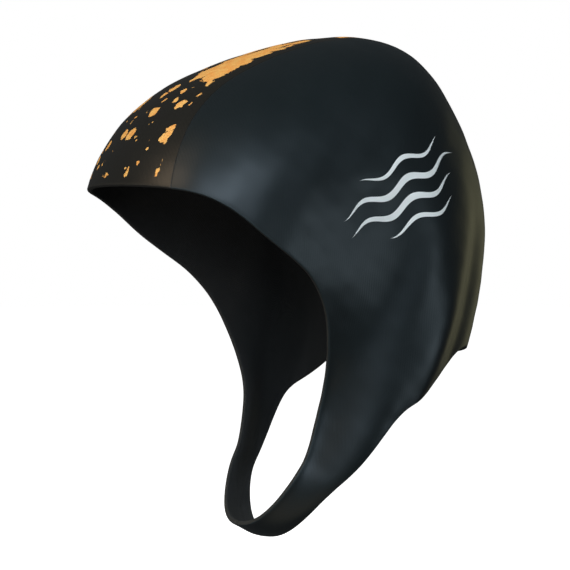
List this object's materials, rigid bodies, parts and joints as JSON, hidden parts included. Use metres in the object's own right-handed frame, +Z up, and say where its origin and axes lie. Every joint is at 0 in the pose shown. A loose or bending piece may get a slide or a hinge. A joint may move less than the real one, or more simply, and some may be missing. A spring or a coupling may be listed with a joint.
{
  "type": "swim hood",
  "caption": "Neoprene swim hood with an open face, a printed band over the crown and a chin strap, in the shape it has on a head.",
  "frame": {"origin": "on the inside of the crown, at its highest point in the middle plane, where the hood rests on the head", "axes": "+Z up, -Y out of the face opening, +X to the wearer's left"},
  "size_m": [0.1546, 0.1912, 0.2395],
  "materials": {
    "printed_rubber": "black smooth-skin neoprene with an orange splatter print, satin, flat black jersey inside",
    "smooth_rubber": "black smooth-skin neoprene with a cool tinge, satin, flat black jersey inside"
  },
  "bodies": {
    "root": {"centre_band": "printed_rubber", "side_panel_left": "smooth_rubber", "side_panel_right": "smooth_rubber"}
  },
  "joints": []
}
